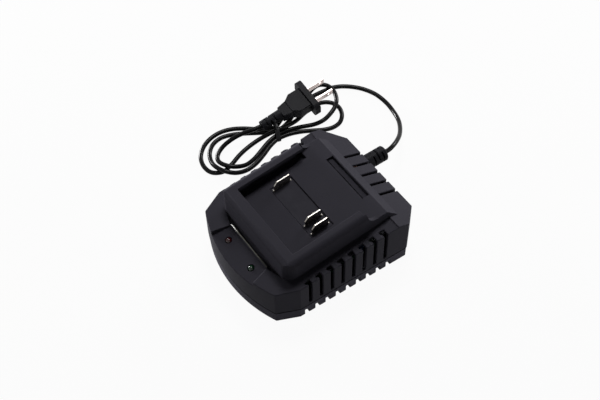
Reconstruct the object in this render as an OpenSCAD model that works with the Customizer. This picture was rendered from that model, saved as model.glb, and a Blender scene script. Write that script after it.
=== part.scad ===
// Battery charger for cordless power tools: a two-part case with a slide-in battery dock on top,
// a board with its parts inside, and a folded mains lead with a two-blade plug.
// Millimetres. X is the width, +Y points to the cord end and Z is up from the bench.

/* [Case] */
// Width across the shoulder at the back
case_w = 113; // [110:0.5:120]
// Length from the nose to the back wall
case_l = 140; // [137:0.5:146]
// How much narrower each side is at the front than at the back
side_taper = 2.3; // [0:0.1:4]
// Radius of the curved nose in plan
nose_r = 111; // [95:1:140]
// Distance from the nose to the back end of its slanted corners
nose_corner = 27.6; // [26:0.2:30]
// Angle of that corner from the side wall
nose_angle = 24; // [18:1:28]
// Size of the 45 degree corners at the back
rear_corner = 15.5; // [12:0.5:18]
// Wall thickness of the top cover
wall = 2.4; // [1.8:0.1:3]
// Height of the joint between base and cover
parting_z = 12; // [11:0.25:13]
// Height of the shoulder at mid length
deck_z = 42; // [40:0.5:46]
// Slope of the shoulder and dock, rising to the back
deck_tilt = 4.8; // [3:0.1:6]
// Distance from the back wall to the start of the back slope
slope_run = 25; // [22:0.5:27]
// Angle of the back slope
slope_angle = 22.3; // [18:0.5:24]
// Height of the step where the back slope starts
slope_step = 0.8; // [0.4:0.1:1.4]

/* [Dock] */
// Width across the raised dock
dock_w = 88.2; // [86:0.2:92]
// Distance from the nose to the front of the raised dock
dock_setback = 23.2; // [22:0.2:25]
// Height of the rails above the shoulder
rail_h = 18; // [16:0.25:20]
// Height of the dock floor above the shoulder
floor_h = 7; // [6:0.25:8]
// Rounding of the rails' outer top edges
rail_round = 4.5; // [3:0.25:5]
// Rounding of the dock's front corners in plan
dock_round = 8; // [6:0.5:10]
// Thickness of the wall in front of the battery
front_wall = 11.7; // [10:0.25:13]
// Gap between the two lips that hold the battery
lip_gap = 71.6; // [70:0.2:73]
// Reach of each lip over its groove
lip_reach = 5; // [4:0.2:5.4]
// Thickness of each lip
lip_t = 3; // [2.4:0.2:3.6]
// Length of the lips behind the front wall
lip_l = 58.7; // [54:0.5:62]
// Depth of each groove below the dock floor
groove_depth = 4; // [3:0.25:4.5]
// How far each groove reaches in from the lip's edge
groove_reach = 1.3; // [0.8:0.1:2]
// Distance from the lips' back end to the foot of the ramps
ramp_run = 11.8; // [10:0.2:13]
// Radius of the hollow ramps behind the rails
ramp_r = 8.8; // [7:0.2:10]
// Length of the flat behind the ramps
hump_l = 8; // [7:0.25:9]
// Angle of the face behind the flat
hump_angle = 44; // [40:1:50]
// Width of the latch recess
latch_w = 45.8; // [40:0.5:50]
// Length of the latch recess along Y
latch_l = 6; // [5:0.25:6.5]
// Depth of the latch recess at its back wall
latch_depth = 3; // [2.4:0.1:3.6]
// Depth of the latch recess at its front edge
latch_step = 1.4; // [1:0.1:2]

/* [Terminals] */
// Width of the terminal window
window_w = 55; // [54:0.5:58]
// Length of the terminal window along Y
window_l = 19.5; // [18:0.25:21]
// Distance from the front wall to the window
window_setback = 22; // [20:0.5:24]
// Depth of the block's top below the dock floor
block_drop = 0.5; // [0.2:0.1:1]
// Height of the block below its flange
block_h = 10; // [8:0.5:12]
// Thickness of the block's flange
flange_t = 2.4; // [2:0.1:3]
// Thickness of a contact blade
blade_t = 1.2; // [0.8:0.1:1.6]
// Length of a contact blade along Y
blade_l = 14.5; // [12:0.25:15]
// Distance of the negative blade from the window's left end
blade_minus_end = 2.5; // [2:0.05:3.5]
// Distance of the positive blade from the window's right end
blade_plus_end = 3.5; // [2.5:0.05:4.5]
// Distance between the positive and the sense blade
blade_pitch = 8.8; // [8:0.1:10]
// Height of a contact blade above the block
blade_h = 8; // [7:0.25:9]
// Corner cut from the front of each contact blade
blade_cut = 3; // [2:0.25:4]
// Diameter of an insulated lead under the block
lead_d = 3; // [2:0.1:3.4]

/* [Lights] */
// Diameter of an indicator lamp
led_d = 5; // [3:0.5:5.5]
// Distance between the two lamps
led_pitch = 30.4; // [28:0.2:34]
// Distance from the nose to the lamps
led_setback = 10.8; // [10:0.2:12]
// Height of the lamp tips above the recess floor
led_proud = 1.2; // [0.8:0.1:2]
// Width of the lamp recess at the nose
recess_w = 57.4; // [54:0.2:60]
// Width of the lamp recess at its back edge
recess_back_w = 47.6; // [46:0.2:52]
// Length of the lamp recess from the nose
recess_l = 18.7; // [17.5:0.1:20]
// Depth of the lamp recess at the nose
recess_depth = 4; // [3:0.1:4.6]
// Slope of the recess floor
recess_tilt = 12.5; // [11:0.5:13.5]
// Thickness of the bead along the back of the recess
bead_d = 1.2; // [0.8:0.1:1.6]

/* [Vents] */
// Number of side vents on each side
vent_count = 8; // [6:1:8]
// Distance between side vents
vent_pitch = 9.625; // [9:0.125:10]
// Length of a side vent along Y on the shoulder
vent_l = 4.8; // [4:0.1:5.4]
// Width of the through slot of a side vent
vent_gap = 3; // [2:0.1:3.2]
// Depth of the recessed plate beside the slot
vent_sink = 1; // [0.6:0.1:1.4]
// Width of the case left between the two rows of side vents
vent_span = 100.6; // [98:0.2:102]
// How far the middle of each vent row lies towards the back
vent_shift = -0.8; // [-2:0.1:2]
// Length of the opening at the inner end of a side vent, across the case
vent_end = 2; // [1.4:0.1:2.6]
// Height of the sill under the side vents above the joint
vent_sill = 2.8; // [2.6:0.1:4]
// Number of back vents
back_vent_count = 5; // [3:1:5]
// Distance between back vents
back_vent_pitch = 11.1; // [10:0.1:12]
// Width of a back vent
back_vent_w = 2.2; // [1.6:0.1:3]
// Length of a back vent on the slope, along Y
back_vent_l = 17; // [14:0.25:17.5]
// Height of the back vents on the back wall
back_vent_drop = 5; // [3:0.25:6]
// Number of notches on each side of the base
notch_count = 9; // [6:1:9]
// Distance between notches
notch_pitch = 9.27; // [8.5:0.01:9.5]
// How far the middle of each notch row lies towards the back
notch_shift = 0.5; // [-2:0.1:2]
// Width of a notch
notch_w = 3.4; // [2.6:0.1:4.4]
// Height of a notch
notch_h = 5.6; // [4:0.1:6]
// Depth of a notch into the base
notch_depth = 5; // [4:0.25:6]

/* [Base] */
// How far the base stands in from the cover
base_inset = 0.6; // [0.4:0.1:1]
// Thickness of the base floor
base_floor = 2.4; // [2:0.1:3]
// Wall thickness of the base
base_wall = 3.2; // [3:0.1:3.6]
// Width of the thick rim that holds the notches
rim_w = 7.4; // [7:0.1:8.4]
// Height of the thick rim
rim_h = 8; // [7.4:0.1:8]
// Height of the tongue inside the cover
tongue_h = 2; // [1.4:0.1:2.4]
// Clearance between tongue and cover
fit = 0.15; // [0.1:0.05:0.25]
// Diameter of a rubber foot
foot_d = 10; // [8:0.5:12]
// Height of a rubber foot
foot_t = 2; // [1.6:0.1:2.2]
// How far the feet stand below the base
foot_proud = 0.6; // [0.4:0.1:0.9]

/* [Fasteners] */
// Diameter of a case screw
screw_d = 3.5; // [3:0.1:4]
// Diameter of a case screw's head
screw_head_d = 6.8; // [6:0.1:7.4]
// Height of a case screw's head
screw_head_t = 2.2; // [1.8:0.1:2.6]
// Length of a case screw under its head
screw_l = 20; // [14:1:24]
// Height of the head's seat above the base floor's underside
screw_seat = 4.4; // [3.6:0.1:5]
// Outer diameter of a screw boss
boss_d = 8.4; // [8.2:0.1:9]
// Diameter of a board screw
board_screw_d = 2.6; // [2:0.1:3]
// Clearance around a screw or lamp in its hole
play = 0.15; // [0.1:0.05:0.25]

/* [Board] */
// Width of the board
board_w = 80; // [78:0.5:81]
// Length of the board behind its tongue
board_l = 94; // [92:0.5:95]
// Width of the board's front tongue
board_nose_w = 44; // [40:0.5:50]
// Length of the board's front tongue
board_nose_l = 23; // [22.5:0.25:24]
// Distance from the nose to the board's front tongue
board_setback = 7; // [6:0.25:8]
// Thickness of the board
board_t = 1.6; // [1.2:0.1:2]
// Height of the board's underside above the base floor
standoff_h = 6; // [5.6:0.1:7]
// Height of the transformer
transformer_h = 26; // [24:0.5:28]
// Diameter of the bulk capacitor
bulk_d = 18; // [14:0.5:18]
// Height of the bulk capacitor
bulk_h = 28; // [22:0.5:30]
// Height of the heat sinks
sink_h = 24; // [20:0.5:26]
// Thickness of the heat sinks' plates
sink_t = 2.4; // [1.6:0.1:3]

/* [Lead] */
// Diameter of the mains lead
cord_d = 3.8; // [3.4:0.1:4.2]
// Distance of the gland from the middle of the case
gland_x = 18.5; // [17.5:0.1:19.5]
// Height of the gland's axis
gland_z = 26; // [25:0.25:26.5]
// Length of the gland behind the back wall
gland_l = 20; // [19:0.25:20.5]
// Diameter of the gland's body
gland_d = 12.6; // [12:0.1:13]
// Diameter of the gland's neck in the wall
gland_neck_d = 9; // [8:0.1:9.4]
// Width of the plug's flange
plug_w = 31.5; // [30:0.25:32]
// Thickness of the plug's flange across the lead
plug_t = 14.5; // [13:0.25:15]
// Length of the plug's body behind its face
plug_body_l = 30; // [29:0.25:31]
// Length of the plug's slotted sleeve
plug_relief_l = 19; // [18:0.5:20]
// Distance between the plug's blades
prong_pitch = 12.7; // [12.7:0.1:13]
// Length of a plug blade
prong_l = 18; // [16:0.25:18.3]
// Width of a plug blade
prong_w = 6.3; // [6.2:0.05:6.4]
// Thickness of a plug blade
prong_t = 1.5; // [1.4:0.05:1.6]

/* [Hidden] */
$fn = 48;

// Colours
case_color = [0.20, 0.20, 0.22];
cord_color = [0.13, 0.13, 0.14];
metal_color = [0.80, 0.80, 0.78];
board_color = [0.10, 0.35, 0.18];

// Far larger than the part, for half spaces and cuts that run right out
big = 400;
// A hair's breadth that cuts run past a face
eps = 0.05;

// Ends of the case along Y
nose_y = -case_l / 2;
back_y = case_l / 2;
front_w = case_w - 2 * side_taper;
slope_y = back_y - slope_run;

// Chain of places along the dock, all in the case's own Y
dock_y = nose_y + dock_setback;
pocket_y = dock_y + front_wall;
lip_end_y = pocket_y + lip_l;
ramp_y = lip_end_y + ramp_run;
hump_y = ramp_y + hump_l;
latch_y = ramp_y + hump_l / 2;
window_y = pocket_y + window_setback + window_l / 2;
recess_y = nose_y + recess_l;
led_y = nose_y + led_setback;

// How far the dock's form runs on behind the flat, where the back slope swallows it
dock_tail = 12;

// Heights in the base
base_z = foot_proud;
floor_z = base_z + base_floor;
rim_z = base_z + rim_h;
board_z = floor_z + standoff_h;
board_top = board_z + board_t;
head_z = base_z + screw_seat;

// Board outline and the places on it
board_nose = nose_y + board_setback;
board_front = board_nose + board_nose_l;
board_back = board_front + board_l;
standoff_d = 7;
standoff_inset = 5;
standoff_at = [
    for (s = [-1, 1])
        for (y = [board_front + standoff_inset + 1, board_back - standoff_inset])
            [s * (board_w / 2 - standoff_inset), y]
];
board_screw_l = 6;
board_screw_head_t = 1.8;

// Screw bosses stand clear of the board, just inside the walls
boss_clear = 1.3;
boss_x = board_w / 2 + boss_d / 2 + boss_clear;
boss_shift = 0.6;
boss_at = [
    for (s = [-1, 1])
        for (y = [nose_y + nose_corner - boss_shift, slope_y + 1])
            [s * boss_x, y]
];
foot_x = 32;
foot_front = 20;
foot_back = 12;
foot_at = [for (s = [-1, 1]) for (y = [nose_y + foot_front, back_y - foot_back]) [s * foot_x, y]];

// Block and blades, in the deck's own frame
block_top = floor_h - block_drop;
flange_top = floor_h - wall;
block_bottom = flange_top - flange_t - block_h;
tail_l = 5;
blade_root = 3;
blade_tail_w = 5;
terminal_screw_bite = 1.6;
terminal_screw_head_d = 4.2;
terminal_screw_head_t = 1.6;
blade_plus_x = window_w / 2 - blade_plus_end;
blade_at = [blade_minus_end - window_w / 2, blade_plus_x - blade_pitch, blade_plus_x];
flange_side = 3.5;
flange_end = 3;
block_flange_w = window_w + 2 * flange_side;
block_flange_l = window_l + 2 * flange_end;
terminal_screw_x = (window_w + block_flange_w) / 4;

// Shell points of the case, counter-clockwise from the front left
nose_reach = 10;
nose_half = front_w / 2 - tan(nose_angle) * (nose_corner + nose_reach);
plan_points = [
    [-nose_half, nose_y - nose_reach],
    [nose_half, nose_y - nose_reach],
    [front_w / 2, nose_y + nose_corner],
    [case_w / 2, back_y - rear_corner],
    [case_w / 2 - rear_corner, back_y],
    [-case_w / 2 + rear_corner, back_y],
    [-case_w / 2, back_y - rear_corner],
    [-front_w / 2, nose_y + nose_corner]
];

// Height of the shoulder at a place along Y
function deck_at(y) = deck_z + tan(deck_tilt) * y;

// Y in the deck's own frame for a place given by its Y in the case and its height over the shoulder
function deck_y(y, h) = y / cos(deck_tilt) + h * sin(deck_tilt);

// Half width of the case at a place along Y, between the corners
function side_x(y) = front_w / 2
    + side_taper * (y - nose_y - nose_corner) / (case_l - nose_corner - rear_corner);

function unit(v) = v / norm(v);

// A convex outline moved in by d on every side
function inset(pts, d) = [
    for (i = [0 : len(pts) - 1])
        let (
            n = len(pts),
            u = unit(pts[i] - pts[(i + n - 1) % n]),
            v = unit(pts[(i + 1) % n] - pts[i]),
            nu = [-u[1], u[0]],
            nv = [-v[1], v[0]]
        )
        pts[i] + d * (nu + nv) / (1 + nu * nv)
];

// ---- Shapes shared by several pieces ----

// Plan of the case, moved in by d
module plan(d = 0) {
    intersection() {
        translate([0, nose_y + nose_r])
            circle(r = nose_r - d, $fn = 180);
        polygon(inset(plan_points, d));
    }
}

// Everything above z = 0 of the current frame
module above() {
    translate([-big / 2, -big / 2, 0])
        cube(big);
}

// The sloping shoulder as a frame: z is the height over it
module deck_frame(h = 0) {
    translate([0, 0, deck_z + h])
        rotate([deck_tilt, 0, 0])
            children();
}

// The back slope as a frame
module slope_frame(h = 0) {
    translate([0, slope_y, deck_at(slope_y) + slope_step + h])
        rotate([-slope_angle, 0, 0])
            children();
}

// A shape drawn in Y and Z, carried across the case
module across(w) {
    translate([-w / 2, 0, 0])
        rotate([90, 0, 90])
            linear_extrude(w)
                children();
}

// A box that is centred in X
module slab(w, y0, y1, z0, z1) {
    translate([-w / 2, y0, z0])
        cube([w, y1 - y0, z1 - z0]);
}

module on_both_sides() {
    children();
    mirror([1, 0, 0])
        children();
}

module bolt(d, l, head_d, head_t) {
    cylinder(d = d, h = l);
    translate([0, 0, -head_t])
        cylinder(d = head_d, h = head_t);
}

// ---- Top cover ----

// Outer form of the cover without its dock, moved in by d
module case_form(d = 0) {
    difference() {
        translate([0, 0, parting_z - d])
            linear_extrude(deck_z)
                plan(d);
        intersection() {
            deck_frame(-d)
                above();
            translate([-big / 2, slope_y + d - big, 0])
                cube(big);
        }
        slope_frame(-d)
            above();
    }
}

// Plan of the raised dock, with rounded front corners
module dock_plan() {
    translate([-dock_w / 2, dock_y + dock_round])
        square([dock_w, hump_y + dock_tail - dock_y - dock_round]);
    translate([-dock_w / 2 + dock_round, dock_y])
        square([dock_w - 2 * dock_round, dock_round + eps]);
    for (s = [-1, 1])
        translate([s * (dock_w / 2 - dock_round), dock_y + dock_round])
            circle(r = dock_round);
}

// Cross-section of the dock with its rounded top edges
module dock_section() {
    translate([-dock_w / 2, -deck_z / 2])
        square([dock_w, deck_z / 2 + rail_h - rail_round]);
    translate([-dock_w / 2 + rail_round, 0])
        square([dock_w - 2 * rail_round, rail_h]);
    for (s = [-1, 1])
        translate([s * (dock_w / 2 - rail_round), rail_h - rail_round])
            circle(r = rail_round);
}

// Side view of the dock with its rounded front top edge
module dock_profile() {
    front = deck_y(dock_y, rail_h - rail_round);
    translate([front - dock_setback, -deck_z / 2])
        square([case_l, deck_z / 2 + rail_h - rail_round]);
    translate([front + rail_round, 0])
        square([case_l, rail_h]);
    translate([front + rail_round, rail_h - rail_round])
        circle(r = rail_round);
}

// What is cut from the dock behind the rails: the hollow ramps, the flat and the face behind it
module dock_back_cut(d = 0) {
    foot = deck_y(ramp_y, floor_h);
    deck_frame() {
        slab(big, foot, big, floor_h - d, big);
        slab(big, foot - ramp_r, big, floor_h + ramp_r, big);
        across(big)
            translate([foot, floor_h + ramp_r])
                circle(r = ramp_r + d);
        translate([0, deck_y(hump_y, floor_h), floor_h - d])
            rotate([-hump_angle - deck_tilt, 0, 0])
                above();
    }
}

module dock_form() {
    difference() {
        intersection() {
            translate([0, 0, parting_z])
                linear_extrude(big / 2)
                    dock_plan();
            deck_frame()
                translate([0, big / 2, 0])
                    rotate([90, 0, 0])
                        linear_extrude(big)
                            dock_section();
            deck_frame()
                across(big)
                    dock_profile();
        }
        dock_back_cut();
        slope_frame(deck_z)
            above();
    }
}

// Room under the dock floor and in the front wall
module dock_room() {
    room_w = lip_gap - 2 * groove_reach - 2 * wall;
    difference() {
        deck_frame()
            slab(room_w, deck_y(dock_y + wall, rail_h), deck_y(hump_y + dock_tail, 0),
                 -2 * wall, floor_h - wall);
        dock_back_cut(wall);
        slope_frame(-wall)
            above();
    }
    deck_frame()
        slab(dock_w - 2 * dock_round, deck_y(dock_y + wall, rail_h), deck_y(pocket_y - wall, 0),
             -2 * wall, rail_h - wall);
}

// The space that a battery's foot slides into
module battery_space() {
    front = deck_y(pocket_y, floor_h);
    lip_end = deck_y(lip_end_y, rail_h);
    groove_w = lip_reach + groove_reach;
    deck_frame() {
        slab(lip_gap, front, big, floor_h, big);
        slab(lip_gap + 2 * lip_reach, lip_end, big, floor_h, big);
        on_both_sides()
            translate([lip_gap / 2 - groove_reach, front, floor_h - groove_depth])
                cube([groove_w, lip_end - front + 1, rail_h - lip_t - floor_h + groove_depth]);
    }
}

// Recess for the battery's latch, deepest at its back wall
module latch_recess() {
    y = deck_y(latch_y, floor_h);
    deck_frame()
        across(latch_w)
            polygon([
                [y - latch_l / 2, floor_h + 1],
                [y - latch_l / 2, floor_h - latch_step],
                [y + latch_l / 2, floor_h - latch_depth],
                [y + latch_l / 2, floor_h + 1]
            ]);
}

module latch_pan() {
    y = deck_y(latch_y, floor_h);
    intersection() {
        deck_frame()
            slab(latch_w + 2 * wall, y - latch_l / 2 - wall, y + latch_l / 2 + wall,
                 floor_h - latch_depth - wall, floor_h);
        dock_form();
    }
}

// Plan of the lamp recess, made wider by g on each side and longer by g at the back
module recess_plan(g = 0) {
    grow = (recess_w - recess_back_w) / 2 / recess_l;
    front = recess_w / 2 + grow * nose_reach + g;
    back = recess_back_w / 2 - grow * g + g;
    polygon([
        [-front, nose_y - nose_reach],
        [front, nose_y - nose_reach],
        [back, recess_y + g],
        [-back, recess_y + g]
    ]);
}

// The floor of the lamp recess as a frame
module recess_frame(h = 0) {
    translate([0, nose_y, deck_at(nose_y) - recess_depth + h])
        rotate([recess_tilt, 0, 0])
            children();
}

module lamp_recess() {
    intersection() {
        linear_extrude(big)
            recess_plan();
        recess_frame()
            above();
    }
}

module recess_pan() {
    intersection() {
        linear_extrude(big)
            recess_plan(wall);
        recess_frame(-wall)
            above();
        case_form();
    }
}

module recess_bead() {
    y = recess_y + bead_d / 2;
    translate([-recess_back_w / 2, y, deck_at(y)])
        rotate([0, 90, 0])
            cylinder(d = bead_d, h = recess_back_w);
}

// Height of the recess floor at the lamps
led_floor_z = deck_at(nose_y) - recess_depth + tan(recess_tilt) * led_setback;

// One side vent, with its +Y edge at y
module side_vent(y) {
    x = vent_span / 2;
    translate([x, y - vent_gap, parting_z + vent_sill])
        cube([big / 4, vent_gap, big / 4]);
    translate([x, y - vent_l, deck_at(y) - 2 * wall])
        cube([vent_end, vent_l, big / 4]);
    intersection() {
        translate([x, y - vent_l, 0])
            cube([big / 4, vent_l, big / 4]);
        deck_frame(-vent_sink)
            above();
    }
}

module side_vents() {
    first = vent_shift - vent_pitch * (vent_count - 1) / 2 + vent_l / 2;
    on_both_sides()
        for (i = [0 : vent_count - 1])
            side_vent(first + i * vent_pitch);
}

module back_vents() {
    edge_z = deck_at(slope_y) + slope_step - tan(slope_angle) * slope_run;
    for (i = [0 : back_vent_count - 1])
        translate([(i - (back_vent_count - 1) / 2) * back_vent_pitch, 0, 0])
            slab(back_vent_w, back_y - back_vent_l, big, edge_z - back_vent_drop, big);
}

// Bosses for the case screws, joined to the underside of the shoulder
module cover_bosses() {
    intersection() {
        for (p = boss_at)
            translate([p[0], p[1], parting_z])
                cylinder(d = boss_d, h = deck_z);
        case_form(wall / 2);
    }
}

module top_cover() {
    color(case_color)
        difference() {
            union() {
                difference() {
                    union() {
                        case_form();
                        dock_form();
                    }
                    case_form(wall);
                    dock_room();
                }
                latch_pan();
                recess_pan();
                recess_bead();
                cover_bosses();
            }
            battery_space();
            latch_recess();
            lamp_recess();
            side_vents();
            back_vents();
            deck_frame()
                translate([0, deck_y(window_y, floor_h), 0])
                    slab(window_w, -window_l / 2, window_l / 2, 0, rail_h);
            for (s = [-1, 1])
                translate([s * led_pitch / 2, led_y, board_top])
                    cylinder(d = led_d + 2 * play, h = deck_z);
            for (p = boss_at)
                translate([p[0], p[1], parting_z - 1])
                    cylinder(d = screw_d, h = head_z + screw_l + 2 - parting_z);
            for (s = [-1, 1])
                deck_frame()
                    translate([s * terminal_screw_x, deck_y(window_y, floor_h), 0]) {
                        translate([0, 0, flange_top - eps])
                            cylinder(d = board_screw_d, h = terminal_screw_bite + eps);
                        translate([0, 0, block_bottom])
                            cylinder(d = terminal_screw_head_d + 2 * play, h = flange_top - block_bottom);
                    }
            translate([-gland_x, back_y - 2 * wall, gland_z])
                rotate([-90, 0, 0])
                    cylinder(d = gland_neck_d, h = 4 * wall);
        }
}

// ---- Base ----

// One notch in the right side of the base, centred at y
module notch(y) {
    translate([side_x(y) - base_inset - notch_depth, y - notch_w / 2, -1])
        cube([big / 4, notch_w, base_z + notch_h + 1]);
}

module base_shell() {
    first = notch_shift - notch_pitch * (notch_count - 1) / 2;
    color(case_color)
        difference() {
            union() {
                difference() {
                    translate([0, 0, base_z])
                        linear_extrude(parting_z - base_z)
                            plan(base_inset);
                    translate([0, 0, rim_z])
                        linear_extrude(big)
                            plan(base_inset + base_wall);
                    translate([0, 0, floor_z])
                        linear_extrude(big)
                            plan(base_inset + rim_w);
                }
                translate([0, 0, rim_z])
                    linear_extrude(parting_z + tongue_h - rim_z)
                        difference() {
                            plan(wall + fit);
                            plan(base_inset + base_wall);
                        }
                for (p = standoff_at)
                    translate([p[0], p[1], base_z])
                        cylinder(d = standoff_d, h = board_z - base_z);
                for (p = boss_at)
                    translate([p[0], p[1], base_z])
                        cylinder(d = boss_d, h = parting_z - base_z);
            }
            on_both_sides()
                for (i = [0 : notch_count - 1])
                    notch(first + i * notch_pitch);
            for (p = foot_at)
                translate([p[0], p[1], -1])
                    cylinder(d = foot_d, h = foot_t + 1);
            for (p = standoff_at)
                translate([p[0], p[1], board_top - board_screw_l])
                    cylinder(d = board_screw_d, h = board_screw_l);
            for (p = boss_at)
                translate([p[0], p[1], -1]) {
                    cylinder(d = screw_head_d + 2 * play, h = head_z + 1);
                    cylinder(d = screw_d + 2 * play, h = parting_z + 2);
                }
        }
}

module rubber_feet() {
    color("dimgray")
        for (p = foot_at)
            translate([p[0], p[1], 0])
                cylinder(d = foot_d, h = foot_t);
}

module case_screws() {
    color(metal_color)
        for (p = boss_at)
            translate([p[0], p[1], head_z])
                bolt(screw_d, screw_l, screw_head_d, screw_head_t);
}

// ---- Terminals, in the deck's own frame ----

module at_window() {
    deck_frame()
        translate([0, deck_y(window_y, floor_h), 0])
            children();
}

// Outline of one contact blade in Y and Z, with its narrow tail
module blade_shape(tail) {
    polygon([
        [-blade_l / 2, block_top - blade_root],
        [-blade_l / 2, block_top + blade_h - blade_cut],
        [-blade_l / 2 + blade_cut, block_top + blade_h],
        [blade_l / 2, block_top + blade_h],
        [blade_l / 2, block_top - blade_root],
        [blade_tail_w / 2, block_top - blade_root],
        [blade_tail_w / 2, block_bottom - tail],
        [-blade_tail_w / 2, block_bottom - tail],
        [-blade_tail_w / 2, block_top - blade_root]
    ]);
}

module blade(x) {
    color(metal_color)
        at_window()
            translate([x, 0, 0])
                across(blade_t)
                    blade_shape(tail_l);
}

module terminal_negative() { blade(blade_at[0]); }
module terminal_sense() { blade(blade_at[1]); }
module terminal_positive() { blade(blade_at[2]); }

module terminal_block() {
    w = window_w - 2 * fit;
    l = window_l - 2 * fit;
    color([0.09, 0.09, 0.10])
        at_window()
            difference() {
                union() {
                    slab(w, -l / 2, l / 2, block_bottom, block_top);
                    slab(block_flange_w, -block_flange_l / 2, block_flange_l / 2,
                         flange_top - flange_t, flange_top);
                }
                for (x = blade_at)
                    translate([x, 0, 0])
                        across(blade_t)
                            blade_shape(eps);
                for (s = [-1, 1])
                    translate([s * terminal_screw_x, 0, flange_top - flange_t - 1])
                        cylinder(d = board_screw_d + 2 * play, h = flange_t + 2);
            }
}

module terminal_screws() {
    color(metal_color)
        at_window()
            for (s = [-1, 1])
                translate([s * terminal_screw_x, 0, flange_top - flange_t])
                    bolt(board_screw_d, flange_t + terminal_screw_bite,
                         terminal_screw_head_d, terminal_screw_head_t);
}

// Insulated leads from the blades' tails down to the board
module terminal_leads() {
    color("firebrick")
        difference() {
            at_window()
                for (x = blade_at)
                    translate([x, 0, block_bottom - tail_l - deck_z])
                        cylinder(d = lead_d, h = deck_z);
            translate([-big / 2, -big / 2, board_top - big])
                cube(big);
        }
}

// ---- Lamps ----

led_top = led_floor_z + led_proud;
led_h = 8.6;
led_rim_h = 1;
led_rim_d = led_d + 0.8;
spacer_hole_d = led_d - 2;
led_seat = led_top - led_h;

module led(s, tint) {
    color(tint)
        translate([s * led_pitch / 2, led_y, led_seat]) {
            cylinder(d = led_rim_d, h = led_rim_h);
            cylinder(d = led_d, h = led_h - led_d / 2);
            translate([0, 0, led_h - led_d / 2])
                sphere(d = led_d);
        }
}

module led_red() { led(-1, "darkred"); }
module led_green() { led(1, "darkgreen"); }

module led_spacers() {
    color("gainsboro")
        for (s = [-1, 1])
            translate([s * led_pitch / 2, led_y, board_top])
                difference() {
                    cylinder(d = led_rim_d, h = led_seat - board_top);
                    translate([0, 0, -1])
                        cylinder(d = spacer_hole_d, h = led_seat);
                }
}

// ---- Board and its parts ----

module circuit_board() {
    color(board_color)
        difference() {
            union() {
                slab(board_w, board_front, board_back, board_z, board_top);
                slab(board_nose_w, board_nose, board_front + eps, board_z, board_top);
            }
            for (p = standoff_at)
                translate([p[0], p[1], board_z - 1])
                    cylinder(d = board_screw_d + 2 * play, h = board_t + 2);
        }
}

module board_screws() {
    color(metal_color)
        for (p = standoff_at)
            translate([p[0], p[1], board_top])
                rotate([180, 0, 0])
                    bolt(board_screw_d, board_screw_l, 2 * board_screw_d, board_screw_head_t);
}

// Places children on the board, x and y from its middle and its back edge
module on_board(x, y) {
    translate([x, board_back - y, board_top])
        children();
}

// A box-shaped part on the board, given by its width, length and height
module box_part(x, y, size) {
    on_board(x, y)
        slab(size[0], -size[1] / 2, size[1] / 2, 0, size[2]);
}

// Places along the board, from its back edge
power_row = 28;
output_row = 73;
transformer_at = [-5, power_row];
core_w = 34;
core_l = 14;
leg_w = 10;
window_cut = 8;
yoke = 5;
gap = 0.2;

module transformer_core() {
    color("dimgray")
        on_board(transformer_at[0], transformer_at[1])
            difference() {
                slab(core_w, -core_l / 2, core_l / 2, 0, transformer_h);
                for (s = [-1, 1])
                    translate([s * (leg_w + window_cut) / 2, 0, 0])
                        slab(window_cut, -core_l, core_l, yoke, transformer_h - yoke);
            }
}

bobbin_wall = 1;
bobbin_w = leg_w + 2 * window_cut - 2 * gap;
bobbin_l = core_l + 12;
bobbin_foot = 4;

// A square tube around the core's middle leg
module leg_tube(inner, outer, z0, z1) {
    difference() {
        slab(leg_w + 2 * outer, -core_l / 2 - outer, core_l / 2 + outer, z0, z1);
        slab(leg_w + 2 * inner, -core_l / 2 - inner, core_l / 2 + inner, z0 - 1, z1 + 1);
    }
}

module transformer_bobbin() {
    z0 = yoke;
    z1 = transformer_h - yoke;
    color("ivory")
        on_board(transformer_at[0], transformer_at[1]) {
            difference() {
                union() {
                    slab(bobbin_w, -bobbin_l / 2, bobbin_l / 2, z0, z0 + bobbin_wall);
                    slab(bobbin_w, -bobbin_l / 2, bobbin_l / 2, z1 - bobbin_wall, z1);
                    leg_tube(gap, bobbin_wall, z0, z1);
                    for (s = [-1, 1])
                        translate([0, s * (bobbin_l - bobbin_foot) / 2, 0])
                            slab(bobbin_w, -bobbin_foot / 2, bobbin_foot / 2, 0, z0 + eps);
                }
                slab(leg_w + 2 * gap, -core_l / 2 - gap, core_l / 2 + gap, -1, transformer_h);
            }
        }
}

module transformer_winding() {
    color("goldenrod")
        on_board(transformer_at[0], transformer_at[1])
            leg_tube(bobbin_wall, window_cut - 2 * gap, yoke + bobbin_wall, transformer_h - yoke - bobbin_wall);
}

// Rounding of a can's top edge, as a step
can_step = 0.8;

module can(x, y, d, h) {
    on_board(x, y) {
        cylinder(d = d, h = h - 1);
        cylinder(d = d - 2 * can_step, h = h);
    }
}

// The primary heat sink stands beside the transformer and the bulk capacitor beside its device
sink_x = 15;
bulk_clear = 4.4;
bulk_x = sink_x + sink_t + bulk_clear + bulk_d / 2;

module bulk_capacitor() {
    color("midnightblue")
        can(bulk_x, power_row, bulk_d, bulk_h);
}

output_cap_d = 10;
output_cap_h = 20;
output_cap_x = 14;
output_cap_pitch = 12;
output_cap_row = output_row + 7;

module output_capacitors() {
    color("darkslateblue")
        for (s = [-1, 1])
            can(output_cap_x + s * output_cap_pitch / 2, output_cap_row, output_cap_d, output_cap_h);
}

choke_d = 13;
choke_hole_d = 5;
choke_h = 9;
choke_at = [-30.5, 16];

module line_filter_choke() {
    color("peru")
        on_board(choke_at[0], choke_at[1])
            difference() {
                cylinder(d = choke_d, h = choke_h);
                translate([0, 0, -1])
                    cylinder(d = choke_hole_d, h = choke_h + 2);
            }
}

module x_capacitor() {
    color("khaki")
        box_part(-31.5, power_row + 8, [9, 18, 15]);
}

module y_capacitor() {
    color("steelblue")
        box_part(6, 52, [8, 4, 7]);
}

fuse_d = 5.2;
fuse_l = 20;

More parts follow.
